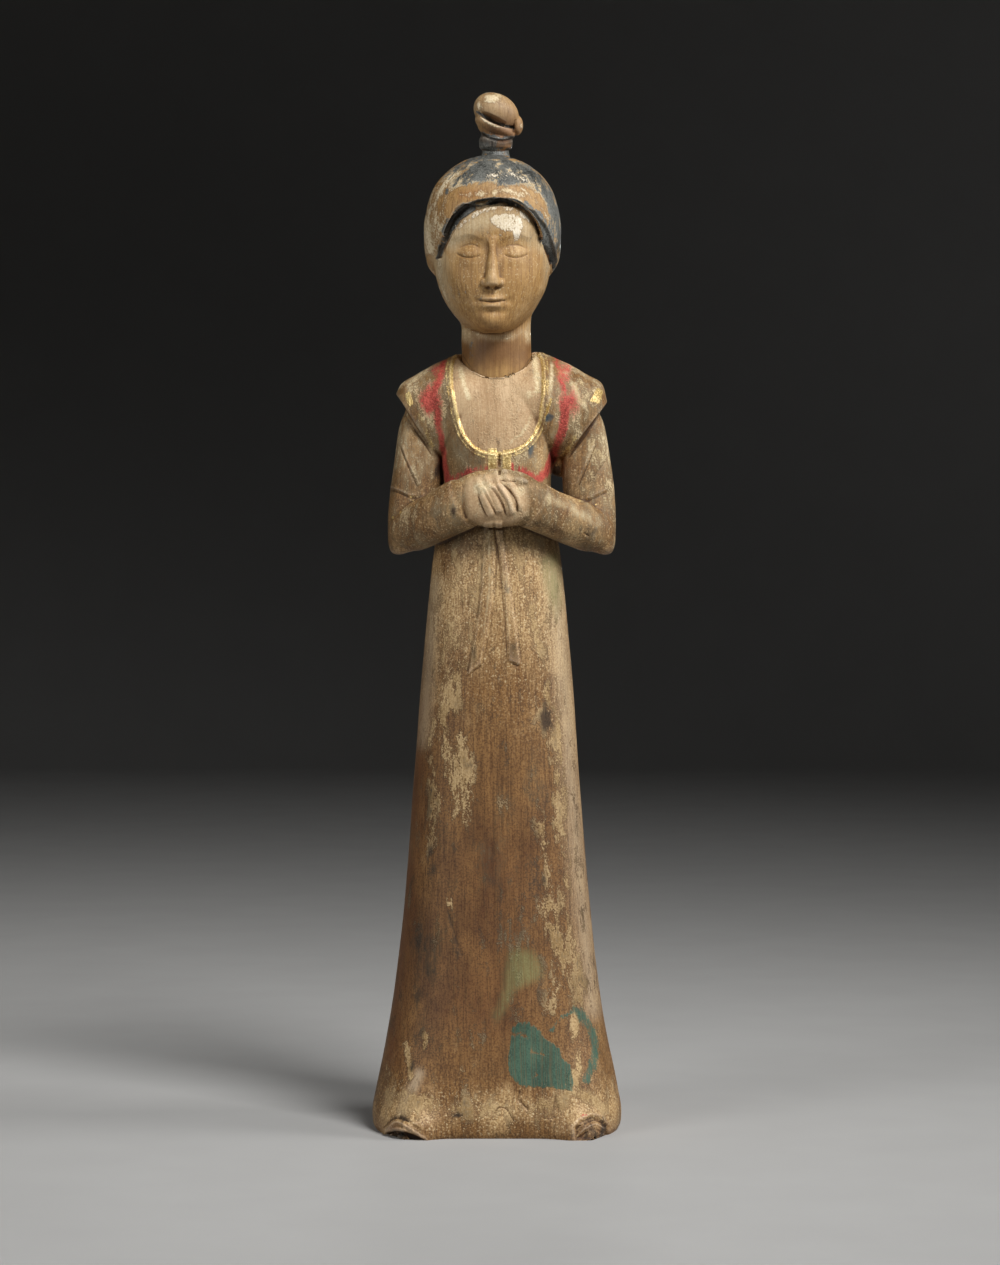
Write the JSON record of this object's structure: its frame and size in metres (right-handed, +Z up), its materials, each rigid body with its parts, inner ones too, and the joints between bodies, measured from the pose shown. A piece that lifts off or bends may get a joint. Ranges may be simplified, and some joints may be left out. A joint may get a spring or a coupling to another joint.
{
  "type": "attendant figure",
  "caption": "Carved and painted wooden figure of a standing attendant in a long flared gown, hands clasped at the waist, with a smooth puffed hairdo and a small topknot.",
  "frame": {"origin": "centre of the underside, at floor level", "axes": "+Z up along the figure, which faces -Y, with +X to the right of someone facing it"},
  "size_m": [0.1222, 0.1019, 0.5049],
  "materials": {
    "body_wood": "aged bare wood with worn paint, gilding and pale ground",
    "head_wood": "aged pale wood with worn black hair paint"
  },
  "bodies": {
    "root": {"body": "body_wood", "head": "head_wood"}
  },
  "joints": []
}
